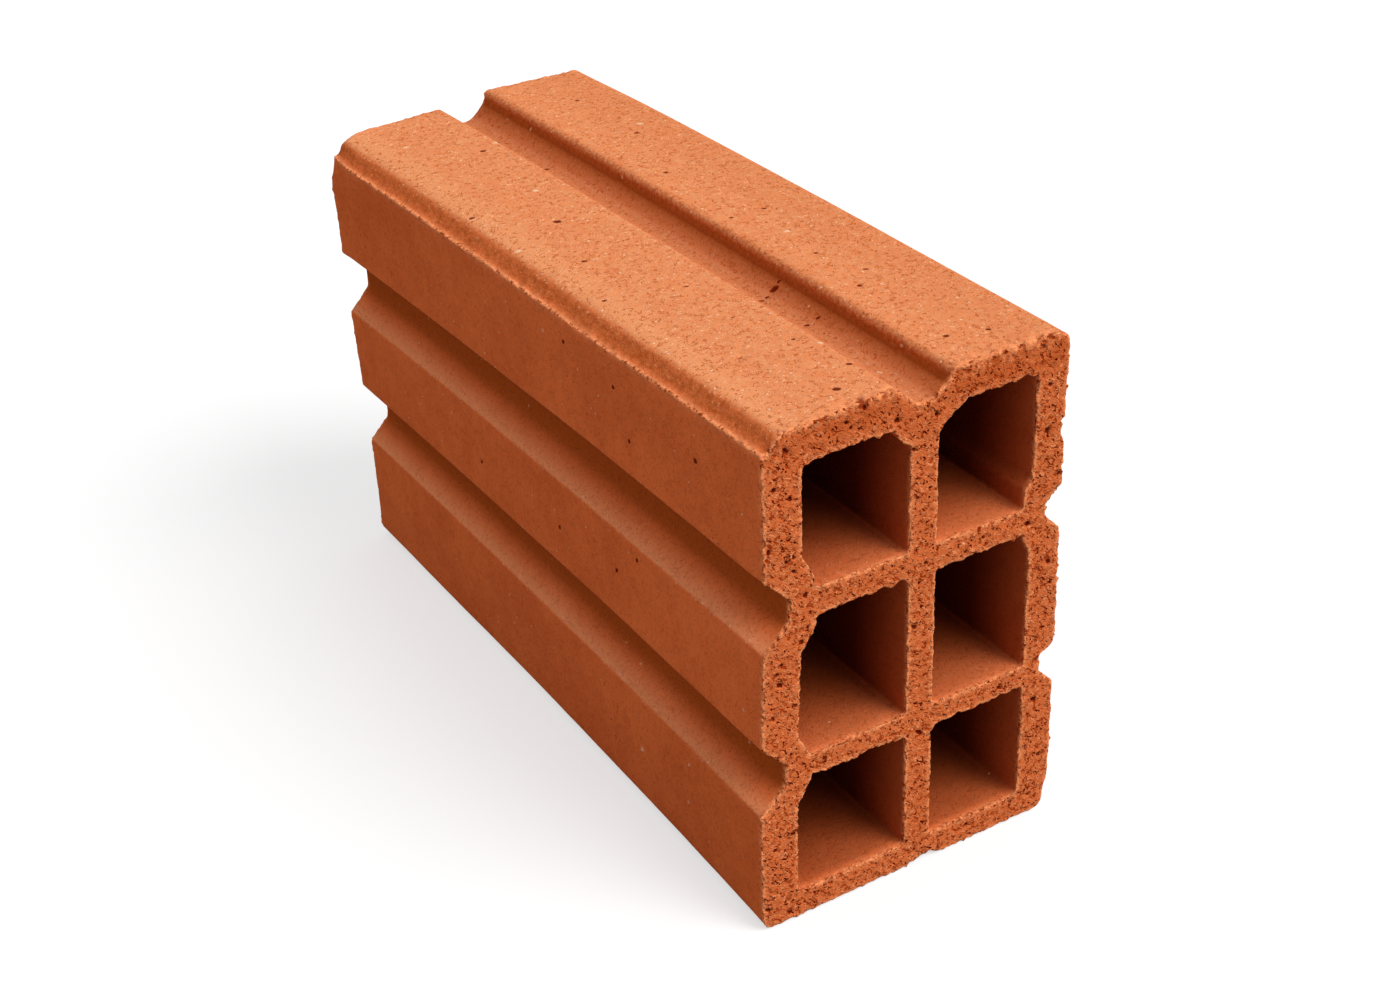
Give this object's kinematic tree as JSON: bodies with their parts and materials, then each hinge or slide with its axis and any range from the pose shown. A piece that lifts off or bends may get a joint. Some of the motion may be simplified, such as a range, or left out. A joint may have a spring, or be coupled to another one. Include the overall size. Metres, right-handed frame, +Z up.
{
  "type": "hollow clay brick",
  "caption": "Fired clay block with through cells, keying grooves along its sides and top, and wire-cut ends; laid in mortar as a light masonry unit.",
  "frame": {"origin": "middle of the bed face, at the bottom of the bounding box", "axes": "+Z up from the bed; +Y along the cells, the brick's length; +X across the brick, from the side with the deep grooves to the side with the shallow ones"},
  "size_m": [0.09, 0.24, 0.143],
  "materials": {
    "clay": "matte fired terracotta, smooth along the die-formed faces and granular on the wire-cut ends"
  },
  "bodies": {
    "root": {"brick": "clay"}
  },
  "joints": []
}
